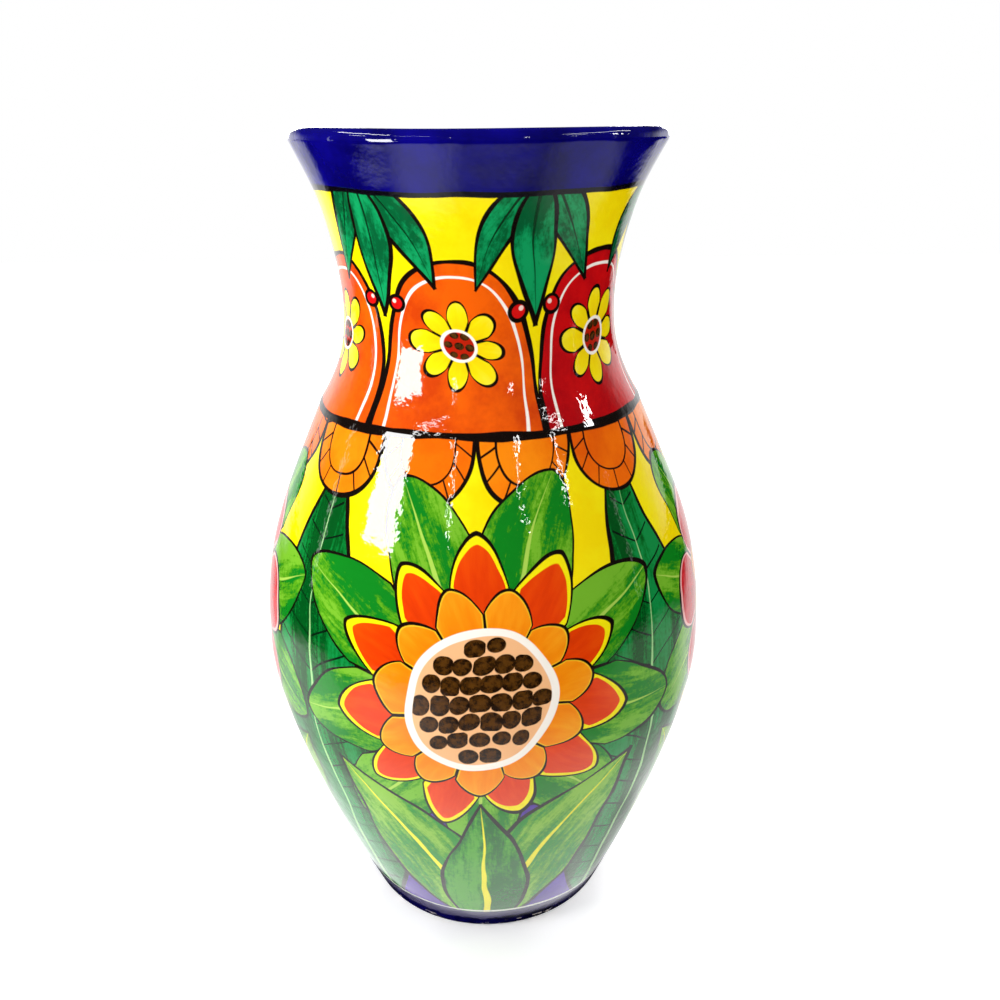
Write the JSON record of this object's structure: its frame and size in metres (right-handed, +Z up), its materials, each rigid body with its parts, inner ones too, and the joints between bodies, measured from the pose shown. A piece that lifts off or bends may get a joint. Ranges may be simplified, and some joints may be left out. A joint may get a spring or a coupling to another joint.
{
  "type": "painted vase",
  "caption": "Tall hand-painted earthenware vase with a round belly, a ridge under a flaring neck and a rolled rim, luted together from thrown sections.",
  "frame": {"origin": "middle of the standing face, on the vase's axis, at table level", "axes": "+Z up along the turning axis; -Y is the side that the picture shows"},
  "size_m": [0.2032, 0.2032, 0.3599],
  "materials": {
    "bare_clay": "bare fired earthenware, matt and slightly gritty",
    "belly_paint": "hand-brushed paint in greens, yellow and orange under a thick gloss lacquer",
    "neck_paint": "hand-brushed paint in orange, red and yellow under a thick gloss lacquer",
    "rim_paint": "deep cobalt blue paint under a thick gloss lacquer"
  },
  "bodies": {
    "root": {"base_slab": "bare_clay", "base_seam_coil": "bare_clay", "lower_belly": "belly_paint", "waist_seam_coil": "bare_clay", "upper_belly": "belly_paint", "neck_seam_coil": "bare_clay", "neck": "neck_paint", "rim_coil": "rim_paint"}
  },
  "joints": []
}
